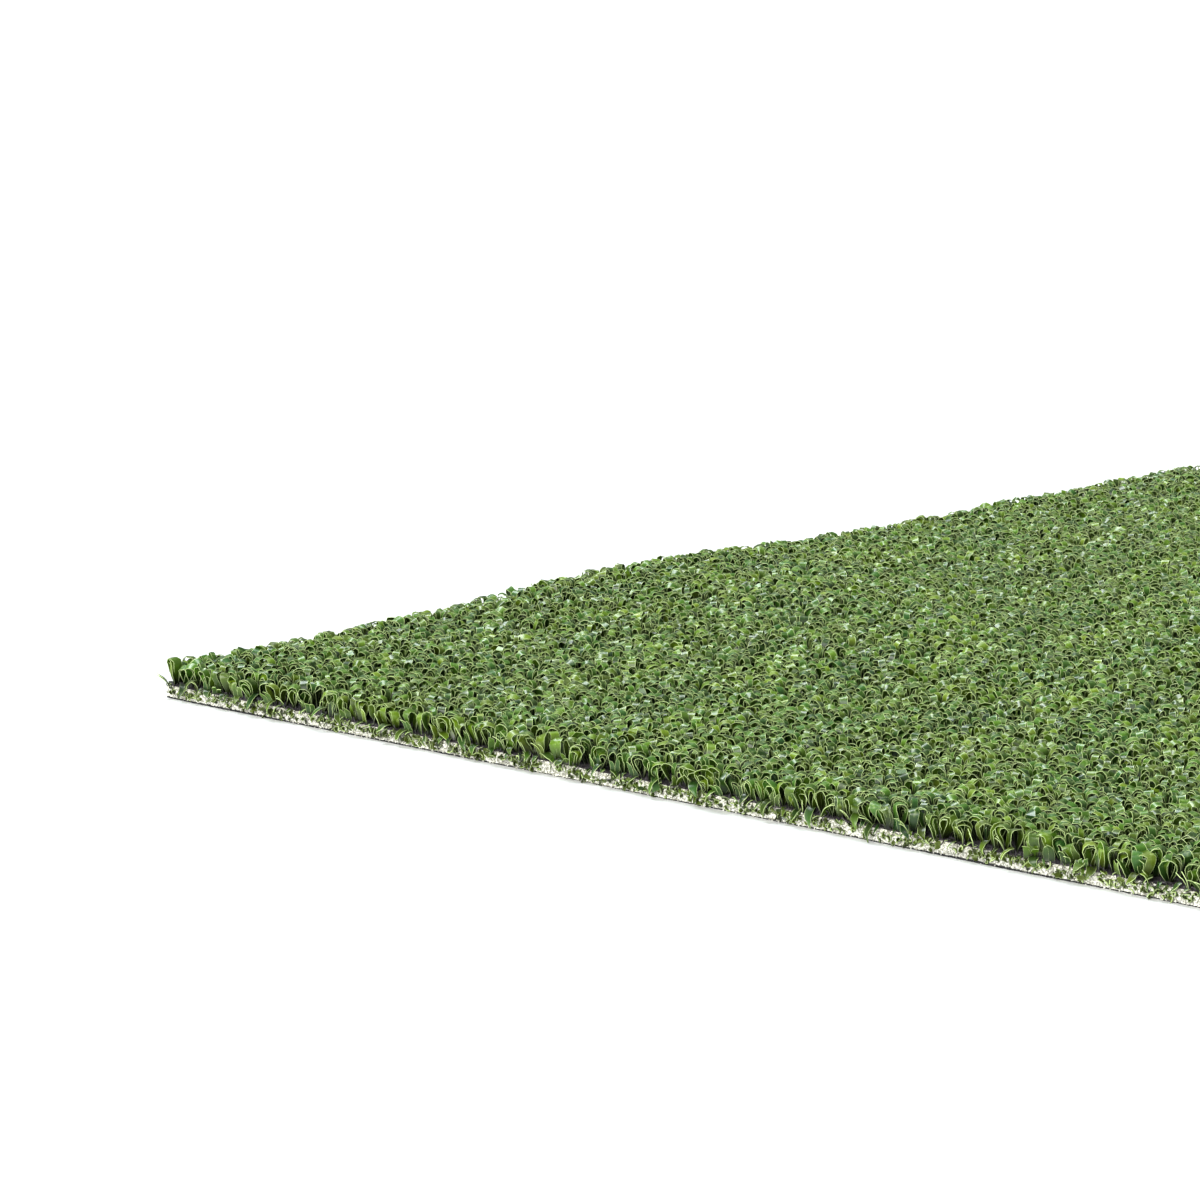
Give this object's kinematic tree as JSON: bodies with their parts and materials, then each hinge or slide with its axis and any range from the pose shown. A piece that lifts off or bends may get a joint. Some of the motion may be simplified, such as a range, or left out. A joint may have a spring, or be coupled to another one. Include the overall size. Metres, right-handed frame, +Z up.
{
  "type": "golf hitting mat",
  "caption": "Flat rectangular golf hitting mat: dense green looped tape pile in a black woven backing, on a cream latex and foam cushion with a thin black base cloth.",
  "frame": {"origin": "middle of the underside, on the floor", "axes": "+X along the long side, +Y along the short side and the tuft rows, +Z up out of the pile"},
  "size_m": [1.2192, 0.9144, 0.022],
  "materials": {
    "loop_yarn": "glossy green slit tape with pale yellow-green cut edges",
    "primary_backing": "matt black plain-woven tape",
    "latex_coat": "matt cream latex with green stitch ends in its cut face",
    "foam_pad": "matt cream open foam, rough where cut",
    "base_cloth": "matt black woven cloth"
  },
  "bodies": {
    "root": {"base_cloth": "base_cloth", "foam_pad": "foam_pad", "latex_coat": "latex_coat", "primary_backing": "primary_backing", "tuft_rows_01": "loop_yarn", "tuft_rows_02": "loop_yarn", "tuft_rows_03": "loop_yarn", "tuft_rows_04": "loop_yarn", "tuft_rows_05": "loop_yarn", "tuft_rows_06": "loop_yarn", "tuft_rows_07": "loop_yarn", "tuft_rows_08": "loop_yarn", "tuft_rows_09": "loop_yarn", "tuft_rows_10": "loop_yarn", "tuft_rows_11": "loop_yarn", "tuft_rows_12": "loop_yarn", "tuft_rows_13": "loop_yarn", "tuft_rows_14": "loop_yarn", "tuft_rows_15": "loop_yarn", "tuft_rows_16": "loop_yarn", "tuft_rows_17": "loop_yarn", "tuft_rows_18": "loop_yarn", "tuft_rows_19": "loop_yarn", "tuft_rows_20": "loop_yarn", "tuft_rows_21": "loop_yarn", "tuft_rows_22": "loop_yarn", "tuft_rows_23": "loop_yarn", "tuft_rows_24": "loop_yarn"}
  },
  "joints": []
}
